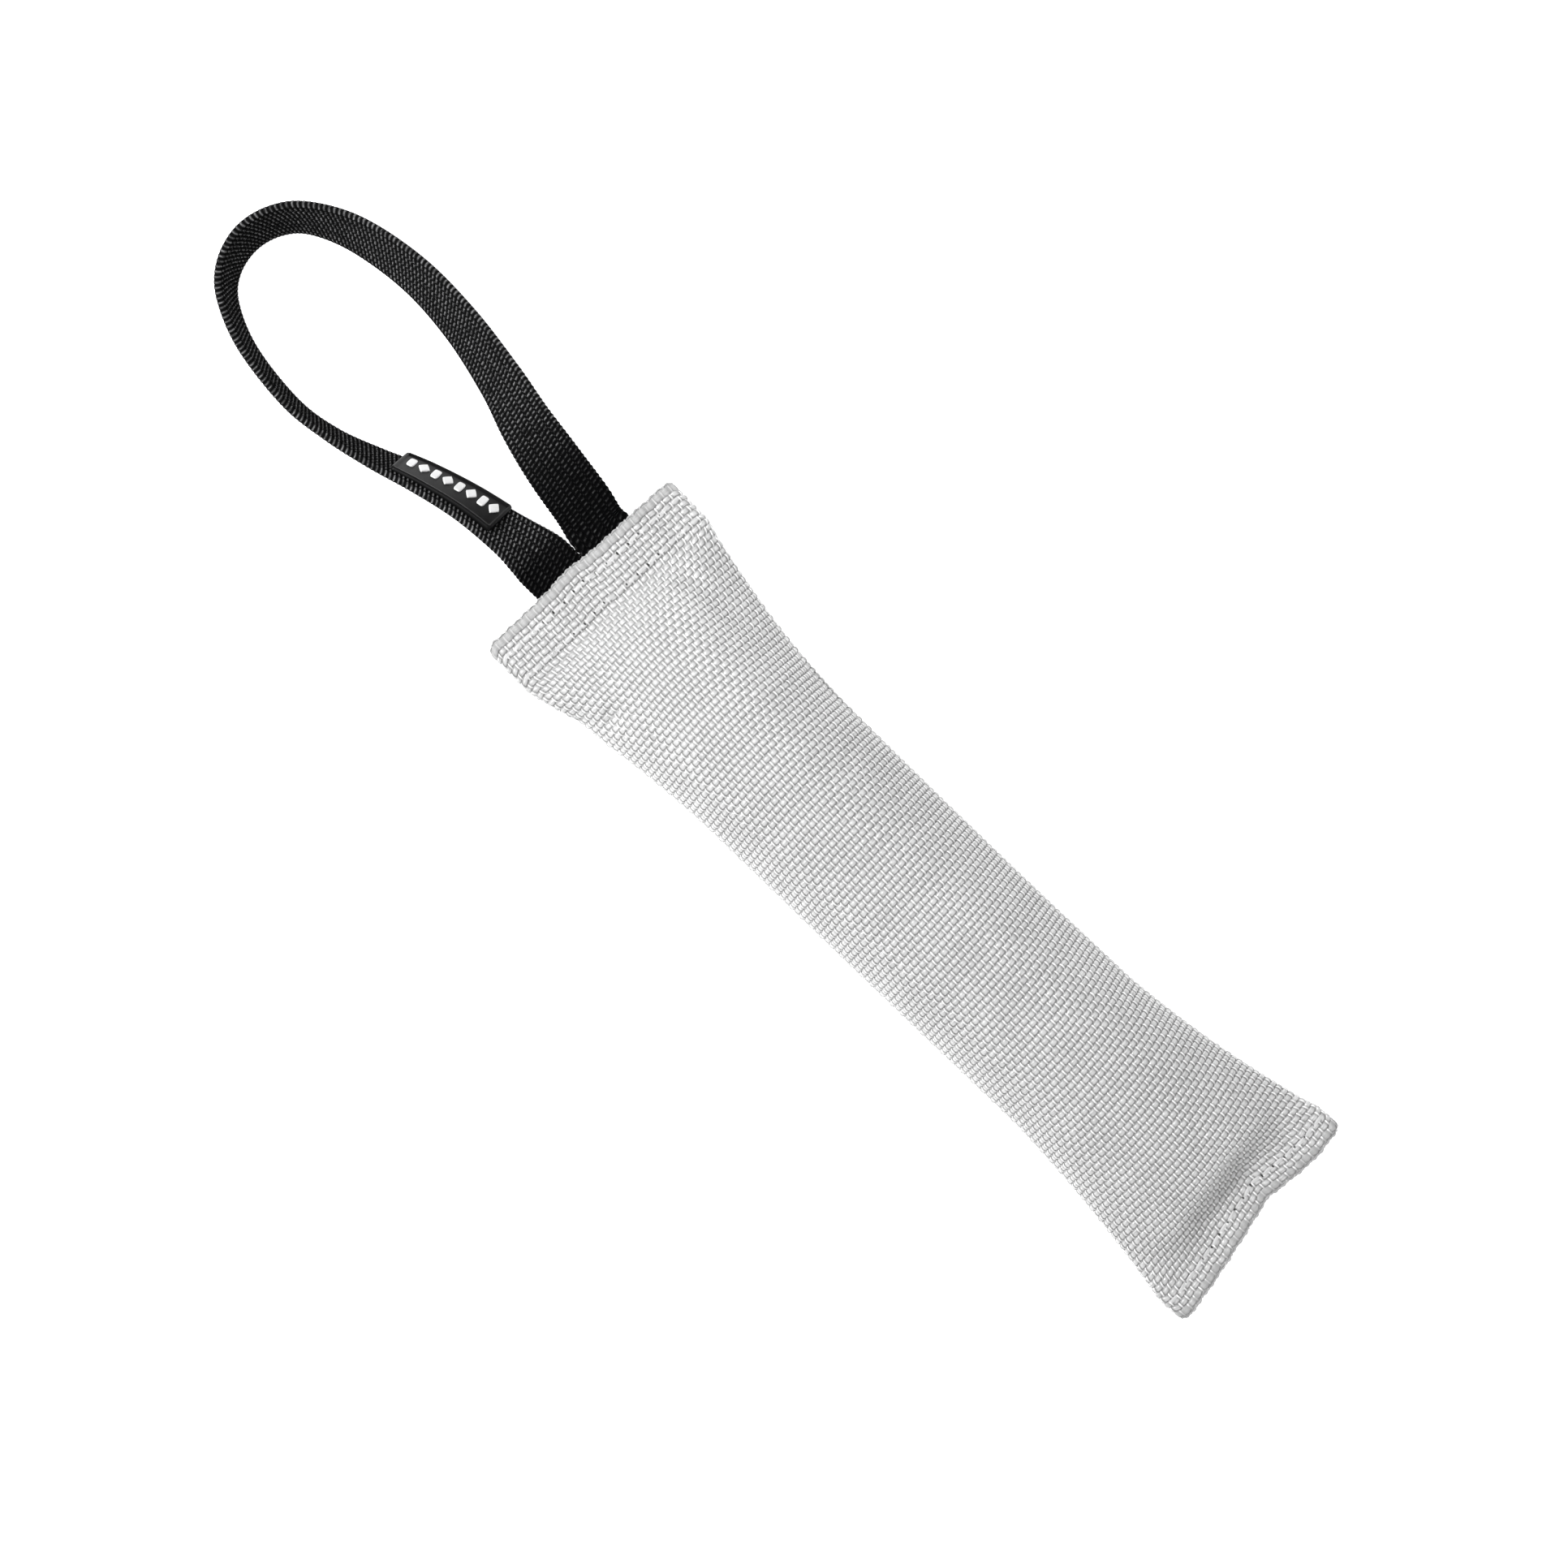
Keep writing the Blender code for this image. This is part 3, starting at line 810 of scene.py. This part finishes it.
class Strap:
    """The webbing's middle line from one hidden end to the other, with its front face's direction."""

    def __init__(self):
        tail = [-TAIL_INSIDE + n * 0.005 for n in range(5)]
        before = [(out, LOOP_ROUTE[0][1], 0) for out in tail]
        after = [(out, LOOP_ROUTE[-1][1], 0) for out in tail[::-1]]
        raw = spline(before + LOOP_ROUTE + after, 24)
        kernel = np.hanning(25) / np.hanning(25).sum()
        twist = np.convolve(np.pad(np.radians(raw[:, 2]), 12, mode="edge"), kernel, mode="valid")
        droop = LOOP_DROOP * rise(raw[:, 0], HINGE_OUT, LOOP_REACH - HINGE_OUT)
        line = np.stack([HEM_X - raw[:, 0], raw[:, 1], MIDDLE_Z - droop], axis=1)
        steps = np.linalg.norm(np.diff(line, axis=0), axis=1)
        length = np.insert(np.cumsum(steps), 0, 0)
        self.run = np.linspace(0, length[-1], round(length[-1] / STRAP_STEP) + 1)
        self.line = read_at(self.run, length, line)
        self.twist = np.interp(self.run, length, twist)
        tangent = unit(np.gradient(self.line, axis=0))
        inward = unit(np.stack([tangent[:, 1], -tangent[:, 0], np.zeros(len(tangent))], axis=1))
        up = unit(np.cross(inward, tangent))
        up = np.where(up[:, 2:] < 0, -up, up)
        turned = self.twist[:, None]
        self.normal = unit(up * np.cos(turned) + inward * np.sin(turned))
        self.across = unit(np.cross(tangent, self.normal))

    def at(self, run):
        """The middle line's point, front normal and width direction this far from the left tail's end."""
        known = self.line, self.normal, self.across
        line, normal, across = (read_at(run, self.run, rows) for rows in known)
        return line, unit(normal), unit(across)


def crests(phase):
    """A wave from 0 to 1 with one crest for each unit of phase."""
    return 0.5 + 0.5 * np.cos(math.tau * phase)


def webbing_relief(run, across):
    """Height of the weave above the webbing's base, 0 to 1: ribs of slanted floats, cords between them."""
    place = (across + STRAP_WIDTH / 2 - SELVEDGE) / RIB_PITCH
    rib = np.clip(np.floor(place), 0, RIB_COUNT - 1)
    local = np.clip(place - rib - 0.5, -0.5, 0.5)
    along = run / BUMP_PITCH
    bump = crests(along + 0.5 * (rib % 2) + SLANT * local) ** 1.1
    floats = smooth((0.40 - np.abs(local)) / 0.12) * (0.12 + 0.88 * bump)
    cord = rise(np.abs(local), 0.38, 0.08) * (0.08 + 0.52 * crests(along + 0.25))
    past = np.where(place <= 0, -place, place - RIB_COUNT) * RIB_PITCH / SELVEDGE
    edge = 0.40 + 0.45 * crests(along + 0.25 + 0.45 * past)
    return np.where((place > 0) & (place < RIB_COUNT), floats + cord, edge)


def webbing_outline(half_wide):
    """Points round the section: distance across, up from 1 to -1, and how far out at an edge."""
    spread = np.linspace(-1, 1, FACE_POINTS) * half_wide
    turn = math.pi * np.arange(1, EDGE_POINTS + 1) / (EDGE_POINTS + 1)
    across, up, out = [], [], []
    for face in (1, -1):
        across += [spread[::face], np.full(EDGE_POINTS, face * half_wide)]
        up += [np.full(FACE_POINTS, face), face * np.cos(turn)]
        out += [np.zeros(FACE_POINTS), face * np.sin(turn)]
    return (np.concatenate(values) for values in (across, up, out))


def build_webbing(strap, material):
    """Loop and tails in one closed mesh, with the weave's relief on both faces and both selvedges."""
    half_wide = STRAP_WIDTH / 2 - EDGE_DEPTH
    across, up, side_of = webbing_outline(half_wide)
    on_face = side_of == 0
    run = strap.run[:, None]
    edge_height = crests(run / BUMP_PITCH + 0.70 + 0.35 * np.abs(up)) ** 0.8
    out = RELIEF * np.where(on_face, webbing_relief(run, across), edge_height)
    lift = np.where(on_face, up, up * 0.92)
    rounding = 1 - 0.22 * np.clip((np.abs(across) / half_wide - 0.86) / 0.14, 0, 1) ** 2
    base = (STRAP_THICKNESS / 2 - RELIEF) * rounding
    tall = lift * (base + np.where(on_face, out, out * np.abs(up)))
    wide = across + side_of * (EDGE_DEPTH + out * 0.6)
    wear = wandering(1, len(run), 60)[0][:, None] * 0.00004
    points = swept(strap.line, strap.normal, strap.across, tall + wear * lift, wide)[None]
    # Painted highlight strength along the strap: the crests are lit in the colour most where the strap is
    # twisted sideways, a little less where it is twisted furthest, and least where it lies flat.
    glint_fade_at_steep_twist = 1 - 0.30 * rise(strap.twist, math.radians(58), 0.3)
    glint_by_twist = smooth(strap.twist / math.radians(40)) * glint_fade_at_steep_twist
    attributes = {
        "run": run,
        "across": across + side_of * 0.001,
        "polish": 0.36 + 0.64 * glint_by_twist[:, None],
    }
    return mesh_piece("webbing", points, tube_faces(points), attributes, material)


# -------- label


def on_label(strap, along, across, height):
    """Points on the label, which is stiffer than the webbing and so lies a little flatter."""
    start = TAIL_INSIDE + LABEL_START
    line, normal, width_way = strap.at(start + along)
    _, middle_normal, _ = strap.at(np.full_like(along, start + LABEL_LENGTH * 0.45))
    normal = unit(normal * (1 - LABEL_STIFFNESS) + middle_normal * LABEL_STIFFNESS)
    width_way = unit(width_way - normal * (width_way * normal).sum(axis=-1, keepdims=True))
    up = STRAP_THICKNESS / 2 + 0.00005 + height
    return line + width_way * (across + LABEL_SHIFT)[..., None] + normal * up[..., None]


def label_steps(half, bevel, count):
    """Distances from one side to the other, close together over both bevels."""
    inner = np.linspace(-half + bevel[-1], half - bevel[-1], count)[1:-1]
    return np.concatenate([-half + bevel, inner, (half - bevel)[::-1]])


def label_grid():
    """The label's top as a grid: distance along and across from its middle, and height."""
    half_long, half_wide = LABEL_LENGTH / 2, LABEL_WIDTH / 2
    bevel = np.array([0.0, 0.00012, 0.00035, 0.00070, RIM_WIDTH, RIM_WIDTH + 0.00018, RIM_WIDTH + 0.0004])
    heights = np.array([0.35, 0.72, 0.97, 1.0, 0.97, 0.70, PANEL_HEIGHT / RIM_HEIGHT]) * RIM_HEIGHT
    long_way, wide_way = label_steps(half_long, bevel, 58), label_steps(half_wide, bevel, 16)
    a, b = np.meshgrid(long_way, wide_way, indexing="ij")
    past_a = np.maximum(np.abs(a) - (half_long - LABEL_CORNER), 0)
    past_b = np.maximum(np.abs(b) - (half_wide - LABEL_CORNER), 0)
    in_corner = (past_a > 0) & (past_b > 0)
    from_edge = np.minimum(half_long - np.abs(a), half_wide - np.abs(b))
    from_edge = np.where(in_corner, LABEL_CORNER - np.hypot(past_a, past_b), from_edge)
    height = np.where(from_edge < 0, 0.25 * RIM_HEIGHT, np.interp(from_edge, bevel, heights))
    scale = 1 + np.minimum(from_edge, 0) / np.maximum(np.hypot(past_a, past_b), 1e-9)
    a = np.where(in_corner, np.sign(a) * (half_long - LABEL_CORNER + past_a * scale), a)
    b = np.where(in_corner, np.sign(b) * (half_wide - LABEL_CORNER + past_b * scale), b)
    return a + half_long, b, height


def build_label(strap, material):
    """A moulded plate with bevelled sides, a rounded raised rim and a sunk panel."""
    a, b, height = label_grid()
    index = np.arange(a.size).reshape(a.shape)
    quads = np.stack([index[:-1, :-1], index[1:, :-1], index[1:, 1:], index[:-1, 1:]], axis=-1).reshape(-1, 4)
    rim = np.concatenate([index[0], index[1:, -1], index[-1, -2::-1], index[-2:0:-1, 0]])
    ahead = np.roll(rim, -1)
    sides = np.stack([rim, ahead, ahead + a.size, rim + a.size], axis=-1)
    faces = np.concatenate([quads, quads[:, ::-1] + a.size, sides])
    points = np.stack([on_label(strap, a, b, height), on_label(strap, a, b, np.full_like(a, -0.0003))])
    return mesh_piece("label", points, faces, {}, material)


def mark_outline(index):
    """A lozenge or an upright bar with rounded corners, by turns."""
    x, y = circle(MARK_SIDES)
    if index % 2 == 0:
        size = 1 / (np.abs(x) + np.abs(y)) ** 0.80
        return x * size * 0.00190, y * size * 0.0031
    size = 1 / (np.abs(x) ** 5 + np.abs(y) ** 5) ** 0.2
    return x * size * 0.00125, y * size * 0.0028


def build_mark(strap, index, material):
    pitch = (LABEL_LENGTH - 2 * RIM_WIDTH) / (MARK_COUNT + 0.4)
    middle = RIM_WIDTH + pitch * (index + 0.7)
    x, y = mark_outline(index)
    rings = []
    for height, size in MARK_LEVELS:
        level = np.full(MARK_SIDES, PANEL_HEIGHT + height)
        rings.append(on_label(strap, middle + x * size, MARK_SHIFT + y * size, level))
    points = np.array(rings)[None]
    return mesh_piece(f"mark_{index + 1}", points, tube_faces(points), {}, material)


# -------- materials


def feed(tree, socket, value):
    """Gives a socket a number, a colour or a field."""
    if isinstance(value, Field):
        tree.links.new(value.socket, socket)
    elif isinstance(value, tuple):
        socket.default_value = (*value, 1)
    else:
        socket.default_value = value


class Field:
    """A value that varies over a surface: +, -, * and ** on it add maths nodes."""

    def __init__(self, tree, socket):
        self.tree = tree
        self.socket = socket

    def maths(self, operation, second=0.0, first=None):
        made = self.tree.nodes.new("ShaderNodeMath")
        made.operation = operation
        feed(self.tree, made.inputs[0], self if first is None else first)
        feed(self.tree, made.inputs[1], second)
        return Field(self.tree, made.outputs[0])

    __add__ = partialmethod(maths, "ADD")
    __sub__ = partialmethod(maths, "SUBTRACT")
    __mul__ = partialmethod(maths, "MULTIPLY")
    __pow__ = partialmethod(maths, "POWER")

    def __rsub__(self, other):
        return self.maths("SUBTRACT", self, other)

    def crests(self):
        """A wave from 0 to 1 with one crest for each unit of this phase."""
        return (self * math.tau).maths("COSINE") * 0.5 + 0.5

    def stepped(self, low, high):
        """0 below low, 1 above high, smooth between."""
        made = self.tree.nodes.new("ShaderNodeMapRange")
        made.interpolation_type = "SMOOTHSTEP"
        made.inputs["From Min"].default_value = low
        made.inputs["From Max"].default_value = high
        feed(self.tree, made.inputs["Value"], self)
        return Field(self.tree, made.outputs[0])


class Finish:
    """A material in the making, and the fields that it is made of."""

    def __init__(self, name):
        self.material = bpy.data.materials.new(name)
        self.material.use_nodes = True
        self.tree = self.material.node_tree
        self.shader = self.tree.nodes["Principled BSDF"]

    def give(self, target, **inputs):
        for key, value in inputs.items():
            feed(self.tree, target.inputs[key.replace("_", " ")], value)

    def node(self, kind, output, **inputs):
        made = self.tree.nodes.new(kind)
        self.give(made, **inputs)
        return Field(self.tree, made.outputs[output])

    def attribute(self, name):
        read = self.tree.nodes.new("ShaderNodeAttribute")
        read.attribute_name = name
        return Field(self.tree, read.outputs["Fac"])

    def place(self):
        return self.node("ShaderNodeTexCoord", "Object")

    def noise(self, vector, scale, detail=2.0, roughness=0.5):
        fine = {"Detail": detail, "Roughness": roughness}
        return self.node("ShaderNodeTexNoise", "Fac", Vector=vector, Scale=scale, **fine)

    def ramp(self, value, low, high, low_colour, high_colour):
        made = self.tree.nodes.new("ShaderNodeValToRGB")
        stops = made.color_ramp.elements
        for stop, position, colour in zip(stops, (low, high), (low_colour, high_colour)):
            stop.position = position
            stop.color = (*colour, 1)
        feed(self.tree, made.inputs["Fac"], value)
        return Field(self.tree, made.outputs["Color"])

    def mixed(self, share, first, second):
        made = self.tree.nodes.new("ShaderNodeMix")
        made.data_type = "RGBA"
        for number, value in ((0, share), (6, first), (7, second)):
            feed(self.tree, made.inputs[number], value)
        return Field(self.tree, made.outputs[2])

    def bump(self, height, strength, distance):
        bumped = self.node("ShaderNodeBump", "Normal", Height=height, Strength=strength, Distance=distance)
        self.give(self.shader, Normal=bumped)


def grey(level):
    return (level, level, level)


def yarn_material(name, dark, light, filament_count, roughness, specular=1.0, crest=0.0):
    """Bright multifilament yarn: fine filaments, a tone of its own, slight soiling in patches, and painted
    light on the crowns of floats with painted shade where they dive.
    """
    made = Finish(name)
    run, turn, own, pressed = (made.attribute(key) for key in ("run", "turn", "own", "pressed"))
    vector = made.node("ShaderNodeCombineXYZ", 0, X=run * 260.0, Y=turn * filament_count, Z=own * 90.0)
    filaments = made.noise(vector, 1.0, 3.0, 0.6)
    patches = made.noise(made.place(), 55.0, 3.0, 0.55)
    tone = filaments * 0.80 + patches * 0.20 + (own - 0.5) * 0.04
    # Painted light and shade: the crest mask lightens the crowns of floats and darkens the dives and the
    # yarns' sides, by the strength crest.
    tone = tone + (made.attribute("crest") - 0.5) * crest - pressed * 0.20
    colour = made.mixed(pressed * 0.60, made.ramp(tone, 0.30, 0.70, grey(dark), grey(light)), grey(0.43))
    gloss = filaments * 0.22 + (roughness - 0.11) + pressed * 0.40
    made.give(made.shader, Base_Color=colour, Roughness=gloss, Specular_IOR_Level=specular)
    made.give(made.shader, Sheen_Weight=0.12, Sheen_Roughness=0.4)
    made.bump(filaments, 0.55, 0.00012)
    return made.material


def mottled(name, dark, light, scale, bump=None, detail=2.0, roughness=0.5, **inputs):
    """A matt material between two close tones, with the tones' own relief if bump is given."""
    made = Finish(name)
    tone = made.noise(made.place(), scale, detail, roughness)
    made.give(made.shader, Base_Color=made.ramp(tone, 0.3, 0.7, dark, light), **inputs)
    if bump:
        made.bump(tone, *bump)
    return made.material


def webbing_pattern(run, across):
    """The weave's height from distance along and across, as the mesh's relief has it but finer."""
    place = (across + (STRAP_WIDTH / 2 - SELVEDGE)) * (1 / RIB_PITCH)
    rib = place.maths("FLOOR")
    local = place - rib - 0.5
    along = run * (1 / BUMP_PITCH)
    phase = along + rib.maths("PINGPONG", 1.0) * 0.5 + local * SLANT
    off = local.maths("ABSOLUTE")
    floats = phase.crests() ** 1.8 * (0.5 - off).stepped(0.10, 0.22)
    dots = (along + 0.25).crests() ** 2.0 * off.stepped(0.41, 0.47)
    return floats + dots * 0.55


def webbing_material():
    """Black polyester: painted highlights on the weave's crests, broken up by fine filaments and patches, and
    grooves that stay black.
    """
    made = Finish("black webbing")
    run, across = made.attribute("run"), made.attribute("across")
    fine = made.node("ShaderNodeCombineXYZ", 0, X=run * 2600.0, Y=across * 900.0)
    filaments = made.noise(fine, 1.0, 3.0, 0.65)
    glint_patches = made.noise(made.place(), 210.0, 4.0, 0.6)
    each = made.node("ShaderNodeCombineXYZ", 0, X=run * (1.7 / BUMP_PITCH), Y=across * 520.0)
    uneven = made.noise(each, 1.0, 4.0, 0.7)
    height = webbing_pattern(run, across)
    # Painted highlights: the colour is lit up on the crests of the weave, broken up by filaments, patches and
    # uneven floats, and scaled by the painted glint strength along the strap; the grooves stay near the
    # webbing's own black.
    glint_breakup = filaments * 0.9 + glint_patches * 0.6 + (uneven - 0.5) * 3.2
    lit = height * glint_breakup + filaments * 0.22
    lit = (lit.maths("MAXIMUM") * made.attribute("polish")) ** 2.0
    colour = made.ramp(lit, 0.00, 1.00, (0.0021, 0.0021, 0.0023), (0.210, 0.210, 0.213))
    gloss = 0.50 - filaments * 0.24
    made.give(made.shader, Base_Color=colour, Roughness=gloss, Specular_IOR_Level=0.0)
    made.bump(height + filaments * 0.12, 0.9, 0.00040)
    return made.material


def rubber_material(name, dark, light, specular):
    made = Finish(name)
    place = made.place()
    grain = made.noise(place, 3200.0, 3.0, 0.6)
    patches = made.noise(place, 160.0, 3.0, 0.5)
    colour = made.ramp(patches, 0.3, 0.7, dark, light)
    gloss = patches * 0.18 + 0.33
    made.give(made.shader, Base_Color=colour, Roughness=gloss, Specular_IOR_Level=specular)
    made.bump(grain, 0.25, 0.00005)
    return made.material


# -------- stage


def build_stage():
    """A seamless pale floor, lit high-key: a soft dome, one broad light from the handle's side and a
    weak one opposite."""
    corners = [(x * FLOOR_HALF, y * FLOOR_HALF, FLOOR_Z) for x, y in ((-1, -1), (1, -1), (1, 1), (-1, 1))]
    mesh = bpy.data.meshes.new("floor")
    mesh.from_pydata(corners, [], [(0, 1, 2, 3)])
    look = {"Roughness": 0.9, "Emission Color": grey(1), "Emission Strength": 0.80}
    mesh.materials.append(mottled("pale floor", grey(0.93), grey(0.95), 9.0, **look))
    linked("floor", mesh)
    world = bpy.data.worlds.new("studio")
    world.use_nodes = True
    dome = world.node_tree.nodes["Background"].inputs
    dome["Color"].default_value = (1, 1, 1, 1)
    dome["Strength"].default_value = 0.47
    bpy.context.scene.world = world
    middle = (Vector(CAD_BOX[0]) + Vector(CAD_BOX[1])) / 2
    area_light("key", middle + Vector((-0.72, -0.40, 1.02)), middle, 0.32, 17.5)
    area_light("fill", middle + Vector((0.5, 0.8, 1.2)), middle, 1.2, 3.4)


def area_light(name, place, target, size, power):
    data = bpy.data.lights.new(name, "AREA")
    data.shape = "SQUARE"
    data.size = size
    data.energy = power
    light = linked(name, data)
    light.location = place
    light.rotation_mode = "QUATERNION"
    light.rotation_quaternion = (target - place).to_track_quat("-Z", "Y")


def build_camera():
    """Straight down, turned so that the tube runs from upper left to lower right."""
    data = bpy.data.cameras.new("camera")
    data.sensor_width = SENSOR_MM
    data.lens = SENSOR_MM * VIEW_DISTANCE / VIEW_WIDTH
    camera = linked("camera", data)
    camera.location = Vector(VIEW_CENTRE) + Vector((0, 0, VIEW_DISTANCE))
    camera.rotation_euler = (0, 0, VIEW_TURN)
    bpy.context.scene.camera = camera
    bpy.context.scene.view_settings.view_transform = "Standard"


# -------- assembly


def build_jacket():
    cloth = Cloth(*jacket_grid())
    # crest: strength of the painted light on float crowns and painted shade in the dives
    wefts = build_wefts(cloth, yarn_material("weft yarn", 0.29, 0.66, 26, 0.25, crest=0.26))
    warps = build_warps(cloth, yarn_material("warp yarn", 0.60, 0.92, 12, 0.25, crest=0.34))
    inner = mottled("inner weave", grey(0.36), grey(0.46), 900.0, Roughness=0.85, Specular_IOR_Level=0.1)
    ground = build_ground(cloth, inner)
    tones = (0.52, 0.50, 0.46), (0.72, 0.70, 0.66)
    fibre = mottled("fibre filling", *tones, 420.0, (0.8, 0.0006), 5.0, 0.7, Roughness=0.95)
    filling = build_filling(cloth, fibre)
    for piece in (*wefts, *warps, ground):
        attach(piece, "bumper")
    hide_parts("jacket")
    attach(filling, "bumper")
    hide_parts("stuffing_core")
    return cloth


def build_seams(cloth):
    thread = yarn_material("sewing thread", 0.46, 0.74, 16, 0.55, 0.5)
    # Needle holes: a near-black matt colour, painted shade in the pits.
    holes = mottled("needle hole", grey(0.03), grey(0.10), 1400.0, Roughness=0.9, Specular_IOR_Level=0.0)
    for row, place in SEAM_ROWS.items():
        along = place if place > 0 else cloth.length + place
        for kind, upper in (("needle_thread", True), ("bobbin_thread", False)):
            seam, pits = build_seam(cloth, f"{row}_{kind}_stitches", along, upper, thread, holes)
            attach(seam, "bumper")
            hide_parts(f"{row}_{kind}")
            if pits:
                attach(pits, "bumper")


def build_handle():
    strap = Strap()
    webbing = build_webbing(strap, webbing_material())
    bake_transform(webbing)
    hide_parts("handle_loop", "strap_tail_left", "strap_tail_right")
    black = rubber_material("label rubber", (0.004, 0.004, 0.0043), (0.007, 0.007, 0.0073), 0.09)
    label = build_label(strap, black)
    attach(label, "handle")
    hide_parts("label_plate")
    white = rubber_material("label marks", grey(0.76), grey(0.88), 0.5)
    for index in range(MARK_COUNT):
        mark = build_mark(strap, index, white)
        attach(mark, "handle")
        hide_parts(f"label_mark_{index + 1}")


build_camera()
build_stage()
build_seams(build_jacket())
build_handle()
